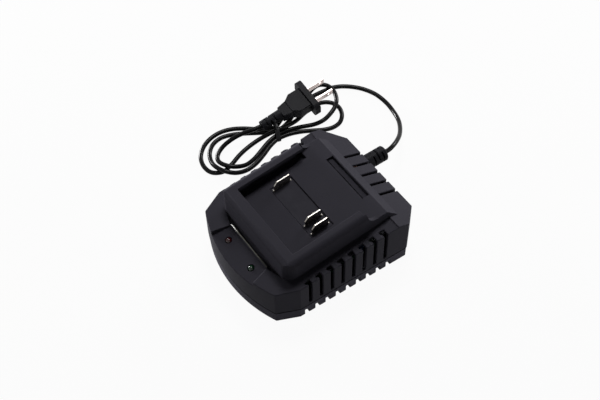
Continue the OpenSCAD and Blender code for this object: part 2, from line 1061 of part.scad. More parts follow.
module fuse() {
    color("whitesmoke")
        on_board(4, 4.5)
            translate([-fuse_l / 2, 0, fuse_d / 2])
                rotate([0, 90, 0])
                    cylinder(d = fuse_d, h = fuse_l);
}

module bridge_rectifier() {
    color("dimgray")
        box_part(23, 5, [15, 4, 11]);
}

device_w = 10;
device_t = 4.4;
device_h = 16;
sink_screw_d = 3;
sink_screw_z = 13;
sink_l = 24;
fin_t = 2;
fin_inset = 2;

// A heat sink's plate with fins on its far side, its near face on the plane x = 0
module heatsink() {
    color("silver")
        difference() {
            union() {
                translate([-sink_t, -sink_l / 2, 0])
                    cube([sink_t, sink_l, sink_h]);
                for (s = [-1, 1])
                    translate([-2 * sink_t, s * (sink_l / 2 - fin_inset - fin_t / 2) - fin_t / 2, 0])
                        cube([2 * sink_t, fin_t, sink_h]);
            }
            translate([-3 * sink_t, 0, sink_screw_z])
                rotate([0, 90, 0])
                    cylinder(d = sink_screw_d, h = 4 * sink_t);
        }
}

// A power device that is screwed to the plate
module device() {
    color([0.12, 0.12, 0.13])
        difference() {
            translate([0, -device_w / 2, 0])
                cube([device_t, device_w, device_h]);
            translate([-1, 0, sink_screw_z])
                rotate([0, 90, 0])
                    cylinder(d = sink_screw_d + 2 * play, h = device_t + 2);
        }
}

module at_primary() {
    on_board(sink_x + sink_t, power_row)
        children();
}

module at_secondary() {
    on_board(-14, output_row)
        rotate([0, 0, 90])
            children();
}

module primary_heatsink() { at_primary() heatsink(); }
module secondary_heatsink() { at_secondary() heatsink(); }
module switching_transistor() { at_primary() device(); }
module output_diode() { at_secondary() device(); }

module heatsink_screw() {
    translate([device_t, 0, sink_screw_z])
        rotate([0, -90, 0])
            bolt(sink_screw_d, device_t + sink_t, 2 * sink_screw_d - 0.6, 1.2);
}

module heatsink_screws() {
    color(metal_color) {
        at_primary()
            heatsink_screw();
        at_secondary()
            heatsink_screw();
    }
}

module controller_chip() {
    color([0.10, 0.10, 0.11])
        box_part(0, output_row + 28, [7, 10, 2]);
}

module optocoupler() {
    color([0.15, 0.15, 0.16])
        box_part(-8, 53, [6.4, 4.8, 3.5]);
}

module thermistor() {
    color("seagreen")
        box_part(-33, 66, [3, 8, 9]);
}

resistor_d = 2.6;
resistor_l = 8;
resistor_at = [32.5, 57];
resistor_pitch = 5;

module resistors() {
    color("tan")
        for (i = [0 : 3])
            on_board(resistor_at[0], resistor_at[1] + i * resistor_pitch)
                translate([-resistor_l / 2, 0, resistor_d / 2])
                    rotate([0, 90, 0])
                        cylinder(d = resistor_d, h = resistor_l);
}

// ---- Mains lead ----

// Unit directions along a route, with its two end segments kept straight
function direction(pts, i) =
    i == 0 ? unit(pts[1] - pts[0]) :
    i == len(pts) - 1 ? unit(pts[i] - pts[i - 1]) :
    unit(unit(pts[i] - pts[i - 1]) + unit(pts[i + 1] - pts[i]));

// A point of the smooth curve through pts, past pts[i] by the share t
function smooth(pts, i, t) =
    let (
        n = len(pts) - 1,
        a = pts[max(i - 1, 0)],
        b = pts[i],
        c = pts[min(i + 1, n)],
        d = pts[min(i + 2, n)]
    )
    b + t / 2 * ((c - a) + t * ((2 * a - 5 * b + 4 * c - d) + t * (3 * b - a - 3 * c + d)));

// A round tube along pts. side is a direction that the route never runs along.
module tube(pts, d, side, sides) {
    n = len(pts);
    rings = [
        for (i = [0 : n - 1])
            let (
                t = direction(pts, i),
                u = unit(cross(t, side)),
                v = cross(u, t)
            )
            for (k = [0 : sides - 1])
                pts[i] + d / 2 * (cos(360 * k / sides) * u + sin(360 * k / sides) * v)
    ];
    walls = [
        for (i = [0 : n - 2])
            for (k = [0 : sides - 1])
                let (m = (k + 1) % sides)
                [i * sides + k, i * sides + m, (i + 1) * sides + m, (i + 1) * sides + k]
    ];
    polyhedron(
        points = rings,
        faces = concat(
            [[for (k = [sides - 1 : -1 : 0]) k]],
            [[for (k = [0 : sides - 1]) (n - 1) * sides + k]],
            walls
        )
    );
}

// Strain relief: inner flange, neck in the wall and a slotted sleeve outside
sleeve_slot = 1.4;
sleeve_pitch = 4.1;
sleeve_end = 3.4;
sleeve_levels = 3;
sleeve_bridge = 3.8;
sleeve_core = 1.2;
gland_flange_t = 2;
gland_flange_d = gland_d + 0.8;
gland_chamfer = 0.8;

// Windows of a sleeve along z that ends at l, each level turned a quarter from the next
module sleeve_slots(l) {
    for (i = [0 : sleeve_levels - 1])
        translate([0, 0, l - sleeve_end - sleeve_slot - i * sleeve_pitch])
            rotate(90 * i)
                difference() {
                    translate([-big / 2, -big / 2, 0])
                        cube([big, big, sleeve_slot]);
                    translate([0, 0, -1])
                        cylinder(r = cord_d / 2 + sleeve_core, h = sleeve_slot + 2);
                    translate([-big / 2, -sleeve_bridge / 2, -1])
                        cube([big, sleeve_bridge, sleeve_slot + 2]);
                }
}

module cord_gland() {
    color(cord_color)
        translate([-gland_x, back_y, gland_z])
            rotate([-90, 0, 0]) {
                translate([0, 0, -wall - gland_flange_t])
                    cylinder(d = gland_flange_d, h = gland_flange_t);
                translate([0, 0, -wall - eps])
                    cylinder(d = gland_neck_d, h = wall + 2 * eps);
                difference() {
                    union() {
                        cylinder(d = gland_d, h = gland_l - gland_chamfer);
                        translate([0, 0, gland_l - gland_chamfer - eps])
                            cylinder(d1 = gland_d, d2 = gland_d - 2 * gland_chamfer,
                                     h = gland_chamfer + eps);
                    }
                    rotate(90)
                        sleeve_slots(gland_l);
                }
            }
}

// The two insulated cores from the gland down to the board
core_d = 2;
core_pitch = 3.2;

module mains_cores() {
    start = back_y - wall - gland_flange_t;
    color("saddlebrown")
        for (s = [-1, 1])
            translate([-gland_x + s * core_pitch / 2, 0, 0])
                tube([
                    [0, start, gland_z],
                    [0, start - 4, gland_z],
                    [0, start - 9, gland_z - 1.5],
                    [0, board_back - 2, gland_z - 5],
                    [0, board_back - 4.5, gland_z - 10],
                    [0, board_back - 4.5, board_top]
                ], core_d, [1, 0, 0], 8);
}

// Route of the free lead, from the gland round to the folded bundle
cord_route = [
    [-gland_x, back_y + gland_l, gland_z],
    [-gland_x, back_y + gland_l + 5, gland_z],
    [-20.5, 101, 25],
    [-25, 108.5, 21.5],
    [-32, 117, 16],
    [-41, 125, 10.5],
    [-51, 131.5, 6],
    [-62, 135.5, 3.2],
    [-75, 137.5, 2],
    [-88, 136, 2],
    [-99, 131, 2],
    [-107, 124.5, 2],
    [-112.7, 117.5, 2],
    [-115.8, 111, 2],
    [-116.5, 107, 2]
];

module mains_cord() {
    n = len(cord_route) - 1;
    fine = concat([for (i = [0 : n - 1]) for (t = [0, 0.5]) smooth(cord_route, i, t)], [cord_route[n]]);
    color(cord_color)
        tube(fine, cord_d, [0, 0, 1], 10);
}

// Where the plug lies, on its own folded lead
plug_at = [-108, 81.5, 17.3];
plug_turn = [6.5, 9, -1];

module at_plug() {
    translate(plug_at)
        rotate([0, 0, plug_turn[2]])
            rotate([plug_turn[0], 0, 0])
                rotate([0, plug_turn[1], 0])
                    children();
}

relief_r0 = 4.8;
relief_r1 = 4.4;
prong_root = 8;
prong_hole_d = 3;
prong_hole_back = 3.6;
flange_thick = 5;
flange_round = 4;
plug_grip_t = 9.6;
plug_grip_w = 20;
plug_grip_mid_w = 12.4;
plug_grip_end_w = 9.4;
plug_shoulder = 15.8;
plug_panel_l = 21.6;
plug_panel_rise = 0.9;
plug_panel_inset = 0.8;
plug_groove = 0.9;

// The sleeve's own round envelope
module relief_cone() {
    at_plug()
        translate([0, -plug_body_l, 0])
            rotate([90, 0, 0])
                cylinder(r1 = relief_r0, r2 = relief_r1, h = plug_relief_l);
}

module prongs() {
    for (s = [-1, 1])
        translate([s * prong_pitch / 2 - prong_t / 2, -prong_root, -prong_w / 2])
            cube([prong_t, prong_root + prong_l, prong_w]);
}

module plug_blades() {
    color(metal_color)
        at_plug()
            difference() {
                prongs();
                translate([-big / 2, prong_l - prong_hole_back, 0])
                    rotate([0, 90, 0])
                        cylinder(d = prong_hole_d, h = big);
            }
}

// Flat block with rounded long edges, its front face on y = 0
module plug_flange() {
    r = flange_round;
    rotate([90, 0, 0])
        linear_extrude(flange_thick)
            union() {
                square([plug_w - 2 * r, plug_t], center = true);
                square([plug_w, plug_t - 2 * r], center = true);
                for (sx = [-1, 1])
                    for (sz = [-1, 1])
                        translate([sx * (plug_w / 2 - r), sz * (plug_t / 2 - r)])
                            circle(r = r);
            }
}

module plug_body() {
    half = plug_grip_w / 2;
    mid = plug_grip_mid_w / 2;
    end = plug_grip_end_w / 2;
    root = 2 * eps - flange_thick;
    inner = half - plug_panel_inset;
    panel_t = plug_grip_t + 2 * plug_panel_rise;
    color(cord_color) {
        at_plug()
            difference() {
                union() {
                    plug_flange();
                    translate([0, 0, -plug_grip_t / 2])
                        linear_extrude(plug_grip_t)
                            polygon([
                                [-half, root], [-half, -plug_shoulder], [-mid, -plug_panel_l],
                                [-end, -plug_body_l], [end, -plug_body_l],
                                [mid, -plug_panel_l], [half, -plug_shoulder], [half, root]
                            ]);
                    translate([0, 0, -panel_t / 2])
                        linear_extrude(panel_t)
                            polygon([
                                [-inner, -flange_thick - plug_groove], [-inner, -plug_shoulder],
                                [plug_panel_inset - mid, -plug_panel_l],
                                [mid - plug_panel_inset, -plug_panel_l],
                                [inner, -plug_shoulder], [inner, -flange_thick - plug_groove]
                            ]);
                }
                prongs();
            }
        difference() {
            relief_cone();
            at_plug()
                translate([0, -plug_body_l, 0])
                    rotate([90, 0, 0])
                        sleeve_slots(plug_relief_l);
        }
    }
}

// The folded lead: a bundle with a lobe at each end and a waist under the tie
hank_h = 7.6;
hank_lobe_h = 12;
hank_low_h = 6;
tie_at = [-102, 43];
tie_turn = -23;
waist_w = 17.5;
waist_l = 9;
waist_end = 2;
tie_t = 0.8;
tie_w = 5;
lobe_end_y = 35;
left_lobe_at = [-107.5, -2.5];
left_lobe_r = 26;
left_flanks = [[-133.2, -5], [-129, 18], [-121, 32], [-110, 45], [-90, 36], [-84, 18], [-82, 2]];
right_lobe_at = [-101.5, 87];
right_lobe_r = 24.5;
right_flanks = [[-110, 42], [-93, 42], [-79, 76], [-124, 76]];
lead_in_at = [-121, 90];
lead_in_w = 10;
hank_end_y = 107;
// Room that is kept under the plug, in its own frame
plug_room_w = 40;
plug_room_z = -4.9;
plug_room_front = 9;
// The tie's twisted ends lie round and over the plug's sleeve
tie_ring_at = [-7.1, 13.2];
tie_ring_r = 5.5;
tie_neck_at = [-9.5, 7];
tie_neck = [6, 6];

module at_tie() {
    translate(tie_at)
        rotate(tie_turn)
            children();
}

module cord_hank() {
    color(cord_color) {
        difference() {
            union() {
                linear_extrude(hank_lobe_h)
                    difference() {
                        hank_left();
                        translate([-big / 2, lobe_end_y])
                            square(big);
                    }
                linear_extrude(hank_h)
                    hank_left();
            }
            at_plug()
                translate([-plug_room_w / 2, -plug_body_l - plug_relief_l, plug_room_z])
                    cube([plug_room_w, plug_body_l + plug_relief_l + plug_room_front, plug_room_w]);
        }
        translate([0, 0, tie_t])
            linear_extrude(hank_h - tie_t)
                at_tie()
                    square([waist_w, waist_l + 2 * waist_end], center = true);
        linear_extrude(hank_low_h)
            hank_right();
    }
}

module hank_left() {
    difference() {
        union() {
            translate(left_lobe_at)
                circle(r = left_lobe_r);
            polygon(left_flanks);
        }
        at_tie()
            translate([-big / 2, -waist_l / 2])
                square(big);
    }
}

module hank_right() {
    difference() {
        union() {
            translate(right_lobe_at)
                circle(r = right_lobe_r);
            translate(lead_in_at)
                square([lead_in_w, hank_end_y - lead_in_at[1]]);
            polygon(right_flanks);
        }
        at_tie()
            translate([-big / 2, waist_l / 2 - big])
                square(big);
        translate([-big / 2, hank_end_y])
            square(big);
    }
}

module twist_tie() {
    color("black")
        difference() {
            at_tie()
                rotate([90, 0, 0])
                    translate([0, 0, -tie_w / 2])
                        linear_extrude(tie_w)
                            union() {
                                translate([-waist_w / 2 - tie_t, 0])
                                    square([waist_w + 2 * tie_t, hank_h + tie_t]);
                                translate(tie_ring_at)
                                    circle(r = tie_ring_r);
                                translate(tie_neck_at)
                                    square(tie_neck);
                            }
            translate([0, 0, tie_t])
                linear_extrude(hank_h - tie_t)
                    at_tie()
                        square([waist_w, waist_l + 2 * waist_end], center = true);
            relief_cone();
        }
}

base_shell();
top_cover();
rubber_feet();
case_screws();
terminal_block();
terminal_negative();
terminal_sense();
terminal_positive();
terminal_leads();
terminal_screws();
led_red();
led_green();
led_spacers();
circuit_board();
board_screws();
transformer_core();
transformer_bobbin();
transformer_winding();
bulk_capacitor();
output_capacitors();
line_filter_choke();
x_capacitor();
y_capacitor();
fuse();
bridge_rectifier();
primary_heatsink();
switching_transistor();
secondary_heatsink();
output_diode();
heatsink_screws();
controller_chip();
optocoupler();
thermistor();
resistors();
cord_gland();
mains_cores();
mains_cord();
cord_hank();
plug_body();
plug_blades();
twist_tie();
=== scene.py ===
"""Battery charger with a coiled mains lead: finishes, fine details and studio.

Run as a script in Blender. Lengths in the code are in millimetres unless a
name or comment says otherwise, and MM turns them into Blender's metres.
"""
import math

import bmesh
import bpy
from bpy.props import FloatProperty, FloatVectorProperty, PointerProperty
from mathutils import Matrix, Vector


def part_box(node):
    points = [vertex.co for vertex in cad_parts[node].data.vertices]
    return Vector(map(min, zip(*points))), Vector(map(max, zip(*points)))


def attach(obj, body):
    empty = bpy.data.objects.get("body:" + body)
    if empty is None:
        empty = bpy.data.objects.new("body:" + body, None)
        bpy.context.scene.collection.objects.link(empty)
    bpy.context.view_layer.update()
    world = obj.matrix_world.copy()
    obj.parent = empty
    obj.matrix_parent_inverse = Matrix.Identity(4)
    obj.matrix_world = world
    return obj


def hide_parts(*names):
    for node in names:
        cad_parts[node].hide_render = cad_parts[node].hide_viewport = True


bl_info = {
    "name": "Battery Charger",
    "version": (1, 0, 0),
    "blender": (4, 5, 0),
    "location": "View3D > Sidebar > Charger",
    "description": "Dresses a power tool battery charger and its coiled mains lead",
    "category": "Object",
}

MM = 0.001
# Points of a mesh that are nearer than this, in metres, are one point
SAME_POINT = 1e-6
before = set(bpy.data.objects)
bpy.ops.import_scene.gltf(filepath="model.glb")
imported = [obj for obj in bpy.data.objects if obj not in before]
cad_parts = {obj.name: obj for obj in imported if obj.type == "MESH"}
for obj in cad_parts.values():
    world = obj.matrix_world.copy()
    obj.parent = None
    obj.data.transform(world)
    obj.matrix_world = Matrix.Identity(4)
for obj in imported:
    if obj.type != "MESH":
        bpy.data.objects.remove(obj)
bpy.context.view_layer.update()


def box_mm(node):
    """A node's lowest and highest corners in millimetres."""
    low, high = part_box(node)
    return Vector(low) / MM, Vector(high) / MM


def middle(node):
    """The middle of a node's box in millimetres."""
    low, high = box_mm(node)
    return (low + high) / 2


# ---------------------------------------------------------------- materials

def linear(code):
    """An sRGB hex value such as #3a393f as linear RGBA."""
    values = [int(code[i:i + 2], 16) / 255 for i in (1, 3, 5)]
    return [v / 12.92 if v <= 0.04045 else ((v + 0.055) / 1.055) ** 2.4
            for v in values] + [1.0]


def paler(colour, share):
    """An RGB colour times share, as RGBA."""
    return [c * share for c in colour] + [1.0]


def add_node(tree, kind, inputs=(), **settings):
    """Add a node with its settings; a socket is linked, any other value set."""
    node = tree.nodes.new(kind)
    for name, value in settings.items():
        setattr(node, name, value)
    for key, value in dict(inputs).items():
        if isinstance(value, bpy.types.NodeSocket):
            tree.links.new(value, node.inputs[key])
        else:
            node.inputs[key].default_value = value
    return node


def per_mm(size):
    """The texture scale at which one feature is about size millimetres."""
    return 1 / (size * MM)


def start_material(name):
    """An empty material and the object's own coordinates in it."""
    material = bpy.data.materials.new(name)
    material.use_nodes = True
    tree = material.node_tree
    tree.nodes.clear()
    place = add_node(tree, "ShaderNodeTexCoord").outputs["Object"]
    return material, tree, place


def end_material(tree, colour, roughness, height, relief, **sockets):
    """The shader: colour, roughness, a bump of relief millimetres and the
    named sockets, with an underscore for each space in a name.
    """
    bump = add_node(tree, "ShaderNodeBump",
                    {"Height": height, "Distance": relief * MM, "Strength": 1.0})
    values = {"Base Color": colour, "Roughness": roughness,
              "Normal": bump.outputs[0]}
    values.update({key.replace("_", " "): value for key, value in sockets.items()})
    shader = add_node(tree, "ShaderNodeBsdfPrincipled", values)
    add_node(tree, "ShaderNodeOutputMaterial", {"Surface": shader.outputs[0]})


def stretched(tree, place, stretch):
    """Coordinates pulled out along the axes where stretch is above 1."""
    return add_node(tree, "ShaderNodeMapping",
                    {"Vector": place, "Scale": [1 / s for s in stretch]}).outputs[0]


def speckle(tree, place, size, detail=2.0):
    """Soft noise with features of about size millimetres, from 0 to 1."""
    return add_node(tree, "ShaderNodeTexNoise",
                    {"Vector": place, "Scale": per_mm(size), "Detail": detail,
                     "Roughness": 0.6}).outputs[0]


def blended(tree, factor, first, second):
    """One colour turning into another as factor goes from 0.3 to 0.7."""
    ramp = add_node(tree, "ShaderNodeValToRGB", {"Fac": factor})
    for stop, position, colour in zip(ramp.color_ramp.elements, (0.3, 0.7),
                                      (first, second)):
        stop.position = position
        stop.color = colour
    return ramp.outputs[0]


def ranged(tree, factor, low, high):
    """A factor from 0 to 1, turned into a value from low to high."""
    return add_node(tree, "ShaderNodeMapRange",
                    {"Value": factor, "To Min": low, "To Max": high}).outputs[0]


def surface(name, tones, patch=30.0, grain=0.8, relief=0.03, rough=(0.5, 0.6),
            stretch=(1, 1, 1), **sockets):
    """A finish in two close tones, clouded over patch and grained at grain mm."""
    material, tree, place = start_material(name)
    place = stretched(tree, place, stretch)
    cloud = speckle(tree, place, patch)
    fine = speckle(tree, place, grain, detail=3.0)
    colour = blended(tree, cloud, linear(tones[0]), linear(tones[1]))
    end_material(tree, colour, ranged(tree, fine, *rough), fine, relief, **sockets)
    return material


def banded(name, tones, pitch, direction, relief, rough, **sockets):
    """A finish in light and dark bands, each pitch millimetres wide."""
    material, tree, place = start_material(name)
    # At scale 1 the wave node's bands are pi / 20 wide
    bands = add_node(tree, "ShaderNodeTexWave",
                     {"Vector": place, "Scale": per_mm(pitch) / 20 * math.pi,
                      "Distortion": 0.4, "Detail": 1.0},
                     bands_direction=direction).outputs["Fac"]
    colour = blended(tree, bands, linear(tones[0]), linear(tones[1]))
    end_material(tree, colour, ranged(tree, bands, *rough), bands, relief, **sockets)
    return material


def charcoal_abs(name, tone=1.0):
    """ABS moulded in a spark-eroded tool: matt, with a fine even grain.

    The real grain is about 0.1 mm; it is drawn at the size set, so that it
    shows, and the large soft patches are the flow of the melt.
    """
    case = bpy.context.scene.charger_case
    material, tree, place = start_material(name)
    cloud = speckle(tree, place, 42.0)
    fine = speckle(tree, place, case.grain, detail=4.0)
    flow = blended(tree, cloud, paler(case.colour, tone),
                   paler(case.colour, tone * 1.12))
    # Pits of the grain hold a little dust, which greys them
    dusty = add_node(tree, "ShaderNodeMixRGB",
                     {"Fac": ranged(tree, fine, 0.0, 0.12), "Color1": flow,
                      "Color2": linear("#504e57")}, blend_type="MIX").outputs[0]
    end_material(tree, dusty, ranged(tree, fine, 0.5, 0.66), fine, 0.05,
                 Specular_IOR_Level=0.03)
    return material


def cord_pvc():
    """Extruded PVC of the lead: black, glossy, with a faint orange peel."""
    return surface("extruded_pvc", ("#050506", "#0a0a0b"), patch=18, grain=1.4,
                   relief=0.008, rough=(0.17, 0.25), Specular_IOR_Level=0.08)


def plug_pvc():
    """PVC moulded round the plug and the gland: satin black, less glossy."""
    return surface("moulded_pvc", ("#141417", "#1a1a1d"), patch=12, grain=0.9,
                   relief=0.02, rough=(0.38, 0.5), Specular_IOR_Level=0.04)


def plated_brass():
    """Nickel-plated brass pressed from strip: bright, rolled along its length."""
    return surface("nickel_plated_brass", ("#e2d6d2", "#d2c6c2"), patch=5,
                   grain=0.5, relief=0.0005, rough=(0.42, 0.5),
                   stretch=(1, 6, 1), Metallic=1.0)


def contact_brass():
    """Nickelled spring brass of the contacts, dulled where the pack slides."""
    return surface("nickelled_spring_brass", ("#a3a09c", "#827d76"), patch=3.5,
                   grain=0.4, relief=0.001, rough=(0.22, 0.34),
                   stretch=(1, 4, 1), Metallic=1.0)


def zinc_steel():
    """Zinc-plated steel screws: pale bluish metal with a slight spangle."""
    return surface("zinc_plated_steel", ("#c9ccd1", "#aeb2ba"), patch=2,
                   grain=0.3, relief=0.004, rough=(0.25, 0.4), Metallic=1.0)


def blackened_steel():
    """Dark steel with a dull gleam: the board screws are blackened in a hot bath; on
    the case screws, which are zinc-plated, it is painted shade.
    """
    return surface("blackened_steel", ("#1b1b1d", "#2a2a2c"), patch=2, grain=0.3,
                   relief=0.004, rough=(0.35, 0.5), Metallic=1.0)


def foot_rubber():
    """Moulded rubber: dull black, slightly dusty."""
    return surface("moulded_rubber", ("#151515", "#1e1e1e"), patch=4, grain=0.5,
                   relief=0.03, rough=(0.75, 0.9), Specular_IOR_Level=0.3)


def foam_rubber():
    """Dead black with no sheen: painted shadow, for the strips that stand in for shade
    in the joint, gaps and steps.
    """
    return surface("black_foam_rubber", ("#040405", "#070708"), patch=2,
                   grain=0.4, relief=0.02, rough=(0.9, 1.0), Specular_IOR_Level=0.02)


def glass_nylon():
    """Glass-filled nylon of the contact block: dark, harder and smoother."""
    return surface("glass_filled_nylon", ("#26252b", "#2c2b31"), patch=14,
                   grain=0.6, relief=0.02, rough=(0.5, 0.6), Specular_IOR_Level=0.03)


def lens_epoxy(name, colour):
    """Tinted epoxy of a lamp: deep colour with a wet, clear skin."""
    material, tree, place = start_material(name)
    milky = speckle(tree, place, 1.2)
    depth = blended(tree, milky, paler(colour, 1.0), paler(colour, 1.6))
    end_material(tree, depth, ranged(tree, milky, 0.1, 0.16), milky, 0.002,
                 IOR=1.54, Specular_IOR_Level=0.2, Transmission_Weight=0.2)
    return material


def board_laminate():
    """Glass-epoxy laminate: green solder mask over copper tracks.

    The tracks show as slightly raised, lighter ground between dark patches
    that are about 7 mm apart.
    """
    material, tree, place = start_material("glass_epoxy_laminate")
    cells = add_node(tree, "ShaderNodeTexVoronoi",
                     {"Vector": place, "Scale": per_mm(7.0), "Randomness": 0.55},
                     distance="CHEBYCHEV", feature="F1").outputs["Distance"]
    track = add_node(tree, "ShaderNodeMath", {0: cells, 1: 0.33},
                     operation="GREATER_THAN").outputs[0]
    weave = speckle(tree, place, 0.6)
    colour = blended(tree, track, linear("#0e2a1a"), linear("#153a24"))
    end_material(tree, colour, ranged(tree, weave, 0.3, 0.42), track, 0.035,
                 Coat_Weight=0.3)
    return material


# ------------------------------------------------------------------- meshes

def dress(node, material, edge=0.25, clamp=False):
    """Give a frame node its material and rounded edges of edge millimetres.

    clamp keeps the rounding of a fine form from running into itself.
    """
    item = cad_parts[node]
    item.data.materials.clear()
    item.data.materials.append(material)
    weld = item.modifiers.new("weld", "WELD")
    weld.merge_threshold = SAME_POINT
    # Triangles of one flat or gently curved face become one face
    flat = item.modifiers.new("flat", "DECIMATE")
    flat.decimate_type = "DISSOLVE"
    flat.angle_limit = math.radians(0.6)
    if edge:
        bevel = item.modifiers.new("edge", "BEVEL")
        bevel.width = edge * MM
        bevel.segments = 2
        bevel.limit_method = "ANGLE"
        bevel.angle_limit = math.radians(30.0)
        bevel.use_clamp_overlap = clamp
    shade = item.modifiers.new("shade", "WEIGHTED_NORMAL")
    shade.keep_sharp = True


def new_piece(name, mesh, material, smooth=True):
    """Link a finished bmesh, in millimetres, as a piece on the root body."""
    data = bpy.data.meshes.new(name)
    bmesh.ops.scale(mesh, vec=(MM, MM, MM), verts=mesh.verts)
    bmesh.ops.recalc_face_normals(mesh, faces=mesh.faces)
    mesh.to_mesh(data)
    mesh.free()
    data.materials.append(material)
    if smooth:
        data.shade_smooth()
    item = bpy.data.objects.new(name, data)
    bpy.context.collection.objects.link(item)
    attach(item, "root")
    return item


def circle(radius, sides):
    """Points round a circle."""
    turns = [2 * math.pi * i / sides for i in range(sides)]
    return [(radius * math.cos(t), radius * math.sin(t)) for t in turns]


def turned(mesh, profile, place, sides):
    """Add a turned form: profile is (radius, height) pairs round z."""
    rings = []
    for radius, height in profile:
        ring = circle(radius, sides) if radius > SAME_POINT else [(0, 0)]
        rings.append([mesh.verts.new(place @ Vector((x, y, height)))
                      for x, y in ring])
    for lower, upper in zip(rings, rings[1:]):
        for i in range(sides):
            j = (i + 1) % sides
            corners = [lower[i % len(lower)], lower[j % len(lower)],
                       upper[j % len(upper)], upper[i % len(upper)]]
            # Next to a ring that is one point, a face has three corners
            face = list(dict.fromkeys(corners))
            if len(face) > 2:
                mesh.faces.new(face)
    for ring in (rings[0], rings[-1]):
        if len(ring) > 2:
            mesh.faces.new(ring)


def smoothed(points, closed=False, steps=6):
    """Catmull-Rom points through the given ones, in steps per gap."""
    points = [Vector(p) for p in points]
    count = len(points)

    def at(i):
        return points[i % count if closed else min(max(i, 0), count - 1)]

    result = []
    for i in range(count if closed else count - 1):
        a, b, c, d = (at(i + k) for k in (-1, 0, 1, 2))
        for k in range(steps):
            t = k / steps
            result.append(0.5 * (2 * b + (c - a) * t
                                 + (2 * a - 5 * b + 4 * c - d) * t ** 2
                                 + (3 * b - a - 3 * c + d) * t ** 3))
    return result if closed else result + [points[-1]]


def swept(mesh, path, section, side, turns=0.0, closed=False, place=Matrix()):
    """Sweep a section of (across, outward) pairs; side is its across direction.

    turns winds the section round the path, as a twisted strip is.
    """
    side = Vector(side).normalized()
    count = len(path)
    rings = []
    for i, point in enumerate(path):
        after = path[(i + 1) % count] if closed else path[min(i + 1, count - 1)]
        before = path[i - 1] if closed or i else path[0]
        along = (after - before).normalized()
        across = (side - along * side.dot(along)).normalized()
        out = along.cross(across)
        turn = 2 * math.pi * turns * i / max(count - 1, 1)
        c, s = math.cos(turn), math.sin(turn)
        rings.append([mesh.verts.new(place @ (
            point + across * (u * c - v * s) + out * (u * s + v * c)))
            for u, v in section])
    pairs = list(zip(rings, rings[1:]))
    if closed:
        pairs.append((rings[-1], rings[0]))
    sides = len(section)
    for lower, upper in pairs:
        for i in range(sides):
            j = (i + 1) % sides
            mesh.faces.new((lower[i], lower[j], upper[j], upper[i]))
    if not closed:
        mesh.faces.new(rings[0])
        mesh.faces.new(rings[-1])


def crowned(half, depth, shoulder, flat, top):
    """The section of a strip: half its width, how deep it is let in, and the
    heights of its shoulders and of the crown, which is flat for half a width.
    """
    return ((-half, -depth), (half, -depth), (half, shoulder), (flat, top),
            (-flat, top), (-half, shoulder))


def strip(name, path, section, side, material, closed=False):
    """A crisp-edged strip along a path, as a piece."""
    mesh = bmesh.new()
    swept(mesh, [Vector(p) for p in path], section, side, closed=closed)
    return new_piece(name, mesh, material, smooth=False)


def outline(node, level):
    """The outer outline of a node at a level, anticlockwise seen from above."""
    mesh = bmesh.new()
    mesh.from_mesh(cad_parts[node].data)
    bmesh.ops.remove_doubles(mesh, verts=mesh.verts, dist=SAME_POINT)
    cut = bmesh.ops.bisect_plane(
        mesh, geom=[*mesh.verts, *mesh.edges, *mesh.faces],
        plane_co=(0, 0, level * MM), plane_no=(0, 0, 1),
        clear_inner=True, clear_outer=True)["geom_cut"]
    # The cut's points in a fixed order, taken out as the loops are walked
    left = dict.fromkeys(v for v in cut if isinstance(v, bmesh.types.BMVert))
    loops = []
    while left:
        loop = [next(iter(left))]
        del left[loop[0]]
        while True:
            ahead = [e.other_vert(loop[-1]) for e in loop[-1].link_edges
                     if e.other_vert(loop[-1]) in left]
            if not ahead:
                break
            loop.append(ahead[0])
            del left[ahead[0]]
        loops.append([v.co / MM for v in loop])
    mesh.free()
    outer = max(loops, key=lambda loop: max(point.x for point in loop))
    area = sum(p.x * q.y - q.x * p.y for p, q in zip(outer, outer[1:] + outer[:1])) / 2
    return outer if area > 0 else outer[::-1]


# --------------------------------------------------------------- properties

class ChargerCase(bpy.types.PropertyGroup):
    colour: FloatVectorProperty(
        name="Case colour", description="Colour of the moulded case",
        subtype="COLOR", size=3, min=0, max=1, default=linear("#27262c")[:3])
    grain: FloatProperty(
        name="Grain", description="Size of the moulded grain in millimetres",
        default=0.9, min=0.2, max=3.0)
    edge: FloatProperty(
        name="Edge", description="Rounding of the case's edges in millimetres",
        default=0.5, min=0.05, max=1.0)


class ChargerLead(bpy.types.PropertyGroup):
    diameter: FloatProperty(
        name="Lead diameter", description="Diameter of the mains lead",
        default=3.8 * MM, min=3.4 * MM, max=4.2 * MM, unit="LENGTH")


class ChargerLamps(bpy.types.PropertyGroup):
    red: FloatVectorProperty(
        name="Charging lamp", description="Colour of the left lamp",
        subtype="COLOR", size=3, min=0, max=1, default=linear("#2c070b")[:3])
    green: FloatVectorProperty(
        name="Ready lamp", description="Colour of the right lamp",
        subtype="COLOR", size=3, min=0, max=1, default=linear("#082012")[:3])


class ChargerStudio(bpy.types.PropertyGroup):
    key: FloatProperty(
        name="Key light", description="Power of the light high behind the case",
        default=7.2, min=0.0, unit="POWER")
    back: FloatProperty(
        name="Back light", description="Power of the low light behind the case",
        default=5.5, min=0.0, unit="POWER")
    left: FloatProperty(
        name="Left light", description="Power of the low light on the case's left",
        default=25.0, min=0.0, unit="POWER")
    front: FloatProperty(
        name="Front light", description="Power of the weak light on the curved front",
        default=1.0, min=0.0, unit="POWER")
    right: FloatProperty(
        name="Right light", description="Power of the light on the rear corner",
        default=2.0, min=0.0, unit="POWER")
    ambient: FloatProperty(
        name="Room light", description="Strength of the light from all round",
        default=0.03, min=0.0)
    floor: FloatVectorProperty(
        name="Floor colour", description="Colour of the studio floor",
        subtype="COLOR", size=3, min=0, max=1, default=(0.45, 0.45, 0.45))


# ---------------------------------------------------------------- operators

